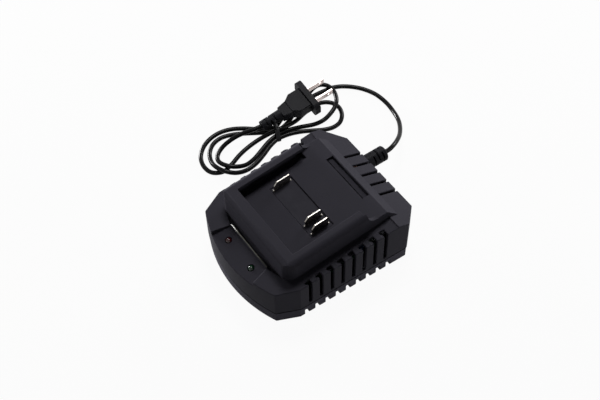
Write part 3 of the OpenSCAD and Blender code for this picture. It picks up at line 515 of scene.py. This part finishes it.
class CHARGER_OT_camera(bpy.types.Operator):
    """Place the camera above the front right corner, looking down"""
    bl_idname = "charger.camera"
    bl_label = "Camera"

    target = Vector((-34.392, 18.814, 1.5))
    azimuth, elevation, roll = 56.176, 53.596, -1.712
    distance = 900.0
    lens = 67.5174

    def execute(self, context):
        az, el, roll = map(math.radians, (self.azimuth, self.elevation, self.roll))
        forward = Vector((-math.sin(az) * math.cos(el),
                          math.cos(az) * math.cos(el), -math.sin(el)))
        level = Vector((math.cos(az), math.sin(az), 0))
        up = level.cross(forward)
        right = math.cos(roll) * level + math.sin(roll) * up
        top = math.cos(roll) * up - math.sin(roll) * level
        data = bpy.data.cameras.new("studio_camera")
        data.sensor_width = 36.0
        data.lens = self.lens
        # Metres: nearer than the charger, and beyond the floor
        data.clip_start = 0.05
        data.clip_end = 20.0
        camera = bpy.data.objects.new("studio_camera", data)
        turn = Matrix((right, top, -forward)).transposed().to_4x4()
        camera.matrix_world = Matrix.Translation(
            (self.target - forward * self.distance) * MM) @ turn
        context.collection.objects.link(camera)
        context.scene.camera = camera
        return {"FINISHED"}


class CHARGER_OT_tie(bpy.types.Operator):
    """Wind the twist tie round the waist of the hank"""
    bl_idname = "charger.tie"
    bl_label = "Twist tie"

    # Where the waist is, and how far the tie is turned from square, in degrees
    at, turn = (-102, 43, 0), -23
    # (across, height) round the five runs of the lead, up from the floor
    loop = ((6.5, 0.45), (8.1, 1.0), (8.9, 2.7), (8.2, 4.4), (5.0, 6.4),
            (1.9, 8.0), (0, 8.5), (-1.9, 8.0), (-4.8, 6.4), (-7.9, 4.4),
            (-8.6, 2.7), (-7.8, 1.0), (-6.2, 0.45), (0, 0.45))
    # The two ends, twisted together beside the plug's sleeve
    tail = ((1.2, 8.7), (-0.4, 9.3), (-1.2, 10.6), (-1.1, 12.4), (-1.4, 14.4),
            (-2.4, 16.2))
    tail_shift, tail_turns = -1.5, 1.6
    # Section of the strip: two thin wings on either side of the wire
    wings = ((-1.8, -0.15), (-0.5, -0.15), (-0.3, -0.35), (0.3, -0.35),
             (0.5, -0.15), (1.8, -0.15), (1.8, 0.15), (0.5, 0.15), (0.3, 0.4),
             (-0.3, 0.4), (-0.5, 0.15), (-1.8, 0.15))
    # Section of the two ends together
    twist = ((-1.1, -0.45), (1.1, -0.45), (1.25, 0), (1.1, 0.45), (-1.1, 0.45),
             (-1.25, 0))

    def execute(self, context):
        place = (Matrix.Translation(self.at)
                 @ Matrix.Rotation(math.radians(self.turn), 4, "Z"))
        mesh = bmesh.new()
        swept(mesh, smoothed([(x, 0, z) for x, z in self.loop], closed=True),
              self.wings, (0, 1, 0), closed=True, place=place)
        swept(mesh, smoothed([(x, self.tail_shift, z) for x, z in self.tail]),
              self.twist, (0, 1, 0), turns=self.tail_turns, place=place)
        # Polyester strip over a wire: black, slightly wrinkled
        plastic = surface("tie_strip_plastic", ("#101012", "#1a1a1d"), patch=4,
                          grain=0.9, relief=0.05, rough=(0.35, 0.5),
                          Specular_IOR_Level=0.1)
        tie = new_piece("wire_tie", mesh, plastic, smooth=False)
        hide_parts("twist_tie")
        return {"FINISHED"}


class CHARGER_OT_mains_lead(bpy.types.Operator):
    """Lay the mains lead from the gland round its hank to the plug"""
    bl_idname = "charger.mains_lead"
    bl_label = "Mains lead"

    # Along the route, in metres
    length = 0.9429
    route = (
        # out of the gland, down to the floor and round in one wide turn
        (-18.5, 90, 26), (-18.5, 95, 26), (-20.5, 101, 25), (-25, 108.5, 21.5),
        (-32, 117, 16), (-41, 125, 10.5), (-51, 131.5, 6), (-62, 135.5, 3.2),
        (-75, 137.5, 2), (-88, 136, 2), (-99, 131, 2), (-107, 124.5, 2),
        (-112.7, 117.5, 2), (-115.8, 111, 2), (-116.5, 107, 2),
        # under the plug to the tie
        (-117.5, 99, 2), (-118, 88, 2), (-117.5, 76, 2), (-116, 65, 2),
        (-112.5, 55, 2.3), (-109, 48.5, 2.7), (-108.1, 44.5, 2.7),
        # outer turn of the left lobe
        (-110, 39, 2.5), (-116, 31.5, 2), (-123.3, 22.5, 2), (-128.5, 13.5, 2),
        (-130.8, 3.5, 2), (-129.5, -6.5, 2), (-125, -15.5, 2),
        (-117.5, -22.5, 2), (-108, -25.5, 2), (-99, -23.5, 2),
        (-94.3, -15.5, 2), (-96.5, -6, 2), (-101, 5, 2), (-104, 17, 2),
        (-104.5, 30, 3.3), (-102, 43, 6.1),
        # lower turn of the right lobe
        (-101.3, 53, 5.5), (-103, 63, 3.2), (-106.5, 74, 2), (-108.5, 84, 2),
        (-107.5, 93, 2), (-102.5, 99.6, 2), (-95, 101.8, 2), (-87, 99.3, 2),
        (-81, 93, 2), (-79.6, 85, 2), (-82.3, 76.5, 2), (-87, 68.5, 2),
        (-91.5, 60.5, 2), (-94.9, 51, 2.3), (-96, 40.5, 2.7),
        # middle turn of the left lobe
        (-94, 31, 2.3), (-89.5, 21, 2), (-85.6, 11, 2), (-84, 1, 2.4),
        (-85.5, -8, 4), (-90.5, -15, 5.8), (-98.5, -18.6, 5.4),
        (-107.5, -18.3, 3), (-116.5, -14.5, 2), (-123, -7.5, 2),
        (-125.3, 1.5, 2), (-123, 11, 2), (-118, 20.5, 2), (-110.5, 32, 2.2),
        (-104, 43.8, 2.7),
        # upper turn of the right lobe
        (-104.8, 54, 3), (-109, 65, 4.8), (-114.5, 76, 5.8), (-119, 86.5, 5.8),
        (-122.3, 95, 5.8), (-122.3, 101.5, 5.8), (-117.8, 106.3, 5.8),
        (-110.5, 107.3, 5.8), (-102.5, 104.7, 5.8), (-96, 99.5, 5.8),
        (-91.8, 91.8, 5), (-90.2, 83, 3), (-91.6, 74, 2), (-95.9, 63, 2),
        (-99.2, 52, 2.3), (-99.9, 42.2, 2.7),
        # inner turn of the left lobe, up to the plug's sleeve
        (-98.2, 32, 2.3), (-94.3, 22, 2), (-90.4, 12, 2), (-88.5, 2.5, 3.2),
        (-91, -6.5, 5.2), (-97, -12.3, 5.8), (-104.5, -13.6, 4.4),
        (-110.5, -10, 4.2), (-114, -2.5, 5.6), (-114.5, 7, 8),
        (-113, 16.5, 9.9), (-110.4, 25, 11.1), (-109, 33.5, 11.8),
    )

    def execute(self, context):
        diameter = context.scene.charger_lead.diameter
        points = [Vector(p) * MM for p in self.route]
        data = bpy.data.curves.new("mains_lead", "CURVE")
        data.dimensions = "3D"
        data.bevel_depth = diameter / 2
        data.bevel_resolution = 6
        data.resolution_u = 6
        data.use_fill_caps = True
        spline = data.splines.new("BEZIER")
        spline.bezier_points.add(len(points) - 1)
        for i, (knot, point) in enumerate(zip(spline.bezier_points, points)):
            before = points[max(i - 1, 0)]
            after = points[min(i + 1, len(points) - 1)]
            # A handle of a sixth makes a Catmull-Rom curve
            reach = (after - before) / 6
            knot.handle_left_type = knot.handle_right_type = "FREE"
            knot.co = point
            knot.handle_left = point - reach
            knot.handle_right = point + reach
        data.materials.append(cord_pvc())
        lead = bpy.data.objects.new("mains_lead", data)
        context.collection.objects.link(lead)
        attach(lead, "root")
        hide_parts("mains_cord", "cord_hank")
        return {"FINISHED"}


class CHARGER_OT_case(bpy.types.Operator):
    """Finish the cover, the base, its feet and screws"""
    bl_idname = "charger.case"
    bl_label = "Case"

    # The bead along the back of the lamp recess
    bead_half, bead_y, bead_z, bead_radius = 23.6, -50.7, 37.74, 0.68

    def parting(self):
        """A black strip round the case where the cover meets the base: a painted shadow
        of the joint's groove.
        """
        level = box_mm("top_cover")[0].z
        # Just under the cover's rim, which stands out over the base
        path = [(p.x, p.y, level - 1.0) for p in outline("base_shell", level - 0.3)]
        # Painted shadow: a dead black strip just under the cover's rim
        strip("parting_line", path, crowned(0.6, 0.2, 0.1, 0.3, 0.22), (0, 0, 1),
              foam_rubber(), closed=True)

    def bead(self):
        """The bead along the back of the lamp recess, coloured pale as a painted
        highlight of the light it catches.
        """
        mesh = bmesh.new()
        swept(mesh, [Vector((self.bead_half * share, self.bead_y, self.bead_z))
                     for share in (-1, -0.5, 0, 0.5, 1)],
              circle(self.bead_radius, 15), (0, 1, 0))
        # Painted highlight: ABS coloured paler than the grained face beside it
        rubbed = surface("rubbed_abs", ("#56554f", "#6a6962"), patch=6, grain=0.6,
                         relief=0.01, rough=(0.3, 0.4), Specular_IOR_Level=0.2)
        new_piece("recess_bead", mesh, rubbed)

    def execute(self, context):
        edge = context.scene.charger_case.edge
        dress("top_cover", charcoal_abs("charcoal_abs"), edge=edge)
        # Painted light: the base is a copy of the case's finish 2.4 times paler, so
        # that its band reads light though it lies in shade
        dress("base_shell", charcoal_abs("paler_charcoal_abs", 2.4), edge=edge)
        self.parting()
        dress("rubber_feet", foot_rubber(), edge=0.5)
        self.bead()
        # Painted shade: the case screws are zinc-plated, coloured dark so that they
        # show dark through the vents
        dress("case_screws", blackened_steel(), edge=0.15)
        return {"FINISHED"}


class CHARGER_OT_terminals(bpy.types.Operator):
    """Finish the contact block, its three contacts, their leads and screws"""
    bl_idname = "charger.terminals"
    bl_label = "Terminals"

    # The block's top rises towards the back: its height in the middle of the
    # case, and its rise for each millimetre
    block_height, block_slope = 48.53, 0.084
    # The black strip behind the block, a painted shadow of the gap there: how far
    # behind the contacts, and half its length
    seal_behind, seal_half = 10.4, 27.6
    # The black strip in the trough, a painted shadow of the step there: its place, half
    # its length and the floor's slope
    buffer_y, buffer_z, buffer_half, trough_slope = 37.3, 50.55, 22.3, -0.184
    # (radius, height over the block) of a contact's foot, and its place past
    # the contact's end
    foot = ((0, 0.55), (0.35, 0.5), (0.62, 0.32), (0.72, 0.0), (0.72, -0.6))
    foot_past = 0.3

    def block_top(self, y):
        """The height of the block's top at a place from front to back."""
        return self.block_height + self.block_slope * y

    def strips(self):
        """The black strips behind the block and in the latch's trough: painted shadow.
        """
        foam = foam_rubber()
        # Painted shadow: a black strip that darkens the gap behind the block
        y = middle("terminal_negative").y + self.seal_behind
        strip("block_seal",
              [(x, y, self.block_top(y)) for x in (-self.seal_half, 0, self.seal_half)],
              crowned(1.0, 0.3, 0.25, 0.3, 0.32), (0, 1, self.block_slope),
              foam)
        # Painted shadow: a black strip that draws the dark line of the step in the
        # latch's trough
        strip("latch_buffer",
              [(x, self.buffer_y, self.buffer_z)
               for x in (-self.buffer_half, 0, self.buffer_half)],
              crowned(0.5, 0.3, 0.1, 0.25, 0.2), (0, 1, self.trough_slope),
              foam)

    def feet(self, name, finish):
        """The two rounded ends of a contact, which grip the block."""
        low, high = box_mm(name)
        mesh = bmesh.new()
        for y in (low.y - self.foot_past, high.y + self.foot_past):
            at = ((low.x + high.x) / 2, y, self.block_top(y))
            turned(mesh, self.foot, Matrix.Translation(at), 20)
        new_piece(name + "_feet", mesh, finish)

    def execute(self, context):
        dress("terminal_block", glass_nylon(), edge=0.3)
        brass = contact_brass()
        for name in ("terminal_negative", "terminal_sense", "terminal_positive"):
            dress(name, brass)
            self.feet(name, brass)
        # Soft PVC sleeves: plain warm red, slightly glossy
        dress("terminal_leads", surface(
            "red_wire_pvc", ("#8e2020", "#a02828"), patch=6, grain=0.8,
            relief=0.01, rough=(0.35, 0.45)), edge=0)
        dress("terminal_screws", zinc_steel(), edge=0.1)
        self.strips()
        return {"FINISHED"}


class CHARGER_OT_lamps(bpy.types.Operator):
    """Turn the two lamp lenses and finish their spacers"""
    bl_idname = "charger.lamps"
    bl_label = "Lamps"

    # Clearance to the hole, the flange's reach, its height and its rounding
    gap, reach, flange, rounding = 0.02, 0.4, 1.0, 0.2

    def profile(self, radius, base, top):
        """(radius, height) pairs of a lens with a flange and a domed end."""
        rim = radius - self.gap
        body = rim - self.reach
        dome = top - self.gap - body
        angles = map(math.radians, range(0, 91, 6))
        return [(0, base), (rim - self.rounding, base), (rim, base + self.rounding),
                (rim, base + self.flange - self.rounding),
                (rim - self.rounding, base + self.flange),
                (body, base + self.flange + 0.05),
                *((body * math.cos(a), dome + body * math.sin(a)) for a in angles)]

    def execute(self, context):
        lamps = context.scene.charger_lamps
        for node, colour, slot in (("led_red", lamps.red, "red_lens"),
                                   ("led_green", lamps.green, "green_lens")):
            low, high = box_mm(node)
            centre = middle(node)
            mesh = bmesh.new()
            turned(mesh, self.profile((high.x - low.x) / 2, low.z, high.z),
                   Matrix.Translation((centre.x, centre.y, 0)), 48)
            lens = new_piece(node + "_lens", mesh,
                             lens_epoxy(slot.replace("lens", "epoxy"), colour))
            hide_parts(node)
        # Moulded nylon: milky white and waxy
        dress("led_spacers", surface(
            "moulded_white_nylon", ("#e4e2dc", "#d8d5cc"), patch=5, grain=0.6,
            relief=0.01, rough=(0.4, 0.5), Subsurface_Weight=0.15), edge=0.2)
        return {"FINISHED"}


class CHARGER_OT_circuit(bpy.types.Operator):
    """Finish the circuit board and every part that stands on it"""
    bl_idname = "charger.circuit"
    bl_label = "Circuit"

    def execute(self, context):
        dress("circuit_board", board_laminate(), edge=0.15)
        dress("board_screws", blackened_steel(), edge=0.1)
        dress("heatsink_screws", zinc_steel(), edge=0.1)
        # Fired ferrite: dark grey, slightly metallic and pitted
        dress("transformer_core", surface(
            "fired_ferrite", ("#2e2e31", "#3c3b3d"), patch=3, grain=0.5,
            relief=0.05, rough=(0.45, 0.6), Metallic=0.2), edge=0.4)
        # Moulded nylon bobbin: plain black, satin
        dress("transformer_bobbin", surface(
            "black_bobbin_nylon", ("#1c1c1e", "#252528"), patch=8, grain=0.7,
            relief=0.02, rough=(0.4, 0.5)))
        # Polyester tape wound over the coil: yellow, glossy, in lapped turns
        dress("transformer_winding", banded(
            "yellow_polyester_tape", ("#c99a1e", "#dcb23a"), 2.6, "Z", 0.05,
            (0.2, 0.3), Coat_Weight=0.4), edge=0.5)
        # Shrunk PVC sleeve of the capacitors: very dark blue, glossy
        sleeve = surface("shrunk_pvc_sleeve", ("#15233f", "#1b2b4b"), patch=9,
                         grain=1.2, relief=0.02, rough=(0.2, 0.3))
        dress("bulk_capacitor", sleeve, edge=0.6)
        dress("output_capacitors", sleeve, edge=0.5)
        # Enamelled copper wire: deep orange, glossy turns
        dress("line_filter_choke", banded(
            "enamelled_copper", ("#6e3312", "#c0692c"), 0.9, "X", 0.2,
            (0.15, 0.25), Metallic=0.7), edge=0.8)
        # Dipped epoxy of the film capacitors: royal blue, full gloss
        blue = surface("dipped_blue_epoxy", ("#1f4c9c", "#2a5cb2"), patch=6,
                       grain=1.5, relief=0.05, rough=(0.12, 0.2))
        dress("x_capacitor", blue, edge=0.8)
        dress("y_capacitor", blue, edge=0.6)
        # Drawn glass tube of the fuse: clear and evenly bright
        dress("fuse", surface(
            "drawn_clear_glass", ("#e8f0ec", "#f4f8f6"), patch=6, grain=2,
            relief=0.003, rough=(0.02, 0.05), Transmission_Weight=0.85,
            IOR=1.52), edge=0.3)
        # Transfer-moulded epoxy of chips: matt black with a dusty grain
        chip = surface("moulded_chip_epoxy", ("#1a1a1b", "#262628"), patch=3,
                       grain=0.35, relief=0.03, rough=(0.5, 0.68))
        for name in ("bridge_rectifier", "switching_transistor", "output_diode",
                     "controller_chip", "optocoupler"):
            dress(name, chip)
        # Extruded and tumbled aluminium: pale, drawn along its height
        fins = surface("extruded_aluminium", ("#c9cacc", "#b5b7ba"), patch=5,
                       grain=0.35, relief=0.01, rough=(0.3, 0.42),
                       stretch=(1, 1, 8), Metallic=1.0)
        for name in ("primary_heatsink", "secondary_heatsink"):
            dress(name, fins, edge=0.15)
        # Dipped epoxy of the thermistor: bottle green, glossy
        dress("thermistor", surface(
            "dipped_green_epoxy", ("#1d4a33", "#286043"), patch=4, grain=1.2,
            relief=0.04, rough=(0.15, 0.25)), edge=0.5)
        # Painted resistor bodies: tan lacquer
        dress("resistors", surface(
            "tan_lacquer", ("#b99a6b", "#c8ab7d"), patch=2, grain=0.5,
            relief=0.02, rough=(0.3, 0.4)), edge=0.4)
        # Brown core insulation: soft PVC, satin
        dress("mains_cores", surface(
            "brown_core_pvc", ("#4a2a17", "#5a3520"), patch=4, grain=0.7,
            relief=0.01, rough=(0.35, 0.45)), edge=0)
        return {"FINISHED"}


class CHARGER_OT_plug(bpy.types.Operator):
    """Finish the plug, its blades and the gland at the case"""
    bl_idname = "charger.plug"
    bl_label = "Plug and gland"

    def execute(self, context):
        pvc = plug_pvc()
        dress("cord_gland", pvc, edge=0.2, clamp=True)
        dress("plug_body", pvc, edge=0.4, clamp=True)
        dress("plug_blades", plated_brass())
        return {"FINISHED"}


class CHARGER_OT_studio(bpy.types.Operator):
    """Lay the pale floor and set soft lights"""
    bl_idname = "charger.studio"
    bl_label = "Studio"

    # Half the floor's width
    floor_half = 6000
    # How much of the floor that the camera sees is plain white
    white_share = 0.95
    # Metres: how far off the lamps stand, how wide they are, where they aim
    lamp_distance, lamp_width, lamp_aim = 1.0, 0.35, Vector((0, 0, 0.03))
    # The direction in which each lamp stands, by its property's name
    lamps = {"key": (-0.35, 0.3, 0.89), "back": (-0.3, 0.89, 0.34),
             "left": (-0.97, -0.2, 0.03), "front": (-0.1, -0.95, 0.12),
             "right": (0.75, 0.6, 0.12)}

    def seen(self, tree):
        """1 for camera, glossy and transmitted rays, 0 for the others."""
        rays = add_node(tree, "ShaderNodeLightPath").outputs
        seen = rays["Is Camera Ray"]
        for kind in ("Is Glossy Ray", "Is Transmission Ray"):
            seen = add_node(tree, "ShaderNodeMath", {0: seen, 1: rays[kind]},
                            operation="MAXIMUM").outputs[0]
        return seen

    def paper(self, colour):
        """Matt white paper: evenly pale, with a shadow that barely shows."""
        material = bpy.data.materials.new("matt_white_paper")
        material.use_nodes = True
        tree = material.node_tree
        tree.nodes.clear()
        lit = add_node(tree, "ShaderNodeBsdfDiffuse",
                       {"Color": [*colour, 1.0]}).outputs[0]
        glow = add_node(tree, "ShaderNodeEmission",
                        {"Color": (1, 1, 1, 1), "Strength": 1.0}).outputs[0]
        share = add_node(tree, "ShaderNodeMath",
                         {0: self.seen(tree), 1: self.white_share},
                         operation="MULTIPLY").outputs[0]
        mix = add_node(tree, "ShaderNodeMixShader", {0: share, 1: lit, 2: glow})
        add_node(tree, "ShaderNodeOutputMaterial", {"Surface": mix.outputs[0]})
        return material

    def floor(self, context, colour):
        """Lay the floor as a stage, which isn't part of the charger."""
        mesh = bmesh.new()
        bmesh.ops.create_grid(mesh, x_segments=1, y_segments=1,
                              size=self.floor_half * MM)
        data = bpy.data.meshes.new("studio_floor")
        mesh.to_mesh(data)
        mesh.free()
        data.materials.append(self.paper(colour))
        floor = bpy.data.objects.new("studio_floor", data)
        context.collection.objects.link(floor)

    def room(self, context, strength):
        """Light the charger weakly from all round, before a white ground."""
        world = context.scene.world or bpy.data.worlds.new("studio_room")
        context.scene.world = world
        world.use_nodes = True
        tree = world.node_tree
        tree.nodes.clear()
        level = ranged(tree, self.seen(tree), strength, 1.0)
        sky = add_node(tree, "ShaderNodeBackground",
                       {"Color": (1, 1, 1, 1), "Strength": level})
        add_node(tree, "ShaderNodeOutputWorld", {"Surface": sky.outputs[0]})

    def lamp(self, context, name, power, direction):
        """A soft disk lamp that looks at the case."""
        data = bpy.data.lights.new(name, "AREA")
        data.shape = "DISK"
        data.size = self.lamp_width
        data.energy = power
        item = bpy.data.objects.new(name, data)
        towards = Vector(direction).normalized()
        item.location = self.lamp_aim + towards * self.lamp_distance
        item.rotation_euler = towards.to_track_quat("Z", "Y").to_euler()
        context.collection.objects.link(item)

    def execute(self, context):
        studio = context.scene.charger_studio
        self.floor(context, studio.floor)
        self.room(context, studio.ambient)
        for name, direction in self.lamps.items():
            self.lamp(context, name + "_light", getattr(studio, name), direction)
        context.scene.view_settings.view_transform = "Standard"
        return {"FINISHED"}


class CHARGER_PT_panel(bpy.types.Panel):
    """Sizes, colours and steps of the charger"""
    bl_idname = "CHARGER_PT_panel"
    bl_label = "Battery charger"
    bl_space_type = "VIEW_3D"
    bl_region_type = "UI"
    bl_category = "Charger"

    def draw(self, context):
        for group in GROUPS:
            settings = getattr(context.scene, group)
            for name in settings.bl_rna.properties.keys():
                if name not in ("rna_type", "name"):
                    self.layout.prop(settings, name)
        for step in STEPS:
            self.layout.operator(step.bl_idname)


GROUPS = {"charger_case": ChargerCase, "charger_lead": ChargerLead,
          "charger_lamps": ChargerLamps, "charger_studio": ChargerStudio}
# The camera, the tie and the lead that it holds come first, the studio last
STEPS = (CHARGER_OT_camera, CHARGER_OT_tie, CHARGER_OT_mains_lead,
         CHARGER_OT_case, CHARGER_OT_terminals, CHARGER_OT_lamps,
         CHARGER_OT_circuit, CHARGER_OT_plug, CHARGER_OT_studio)


def register():
    for cls in (*GROUPS.values(), *STEPS, CHARGER_PT_panel):
        bpy.utils.register_class(cls)
    for name, cls in GROUPS.items():
        setattr(bpy.types.Scene, name, PointerProperty(type=cls))


def unregister():
    for name in GROUPS:
        delattr(bpy.types.Scene, name)
    for cls in (CHARGER_PT_panel, *reversed(STEPS), *GROUPS.values()):
        bpy.utils.unregister_class(cls)


def main():
    register()
    for step in STEPS:
        getattr(bpy.ops.charger, step.bl_idname.split(".")[1])()


if __name__ == "__main__":
    main()
